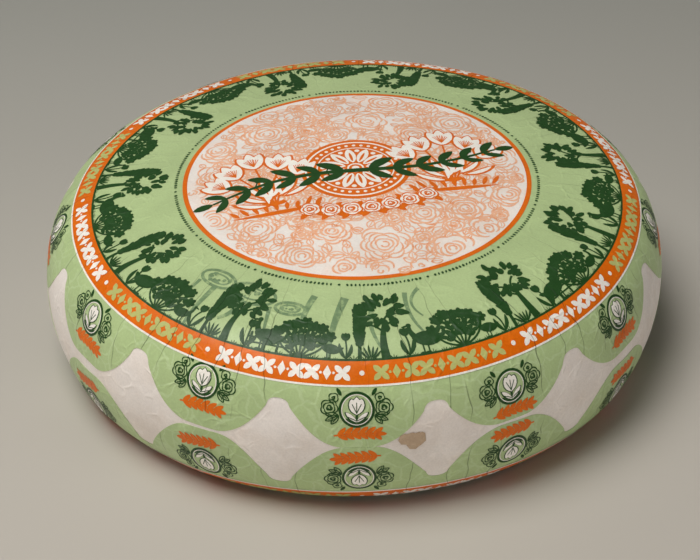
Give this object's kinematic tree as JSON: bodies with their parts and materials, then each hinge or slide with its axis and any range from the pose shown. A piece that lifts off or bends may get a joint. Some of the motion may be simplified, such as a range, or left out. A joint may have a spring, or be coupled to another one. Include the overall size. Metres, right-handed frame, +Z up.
{
  "type": "goat gouda cheese wheel",
  "caption": "Whole uncut round of goat gouda with a slow domed top, full rounded sides, a flat base and scalloped printed labels over the top and the base.",
  "frame": {"origin": "middle of the flat base that the wheel rests on", "axes": "+Z up along the wheel's axis, +X to the right of the shown side, -Y towards the viewer"},
  "size_m": [0.27, 0.27, 0.083],
  "materials": {
    "wax_coat": "thin cream wax coat, semi-gloss",
    "top_print": "printed label sheet under clear wax, semi-gloss",
    "base_print": "printed label sheet under clear wax, semi-gloss"
  },
  "bodies": {
    "root": {"cheese": "wax_coat", "top_label": "top_print", "base_label": "base_print"}
  },
  "joints": []
}
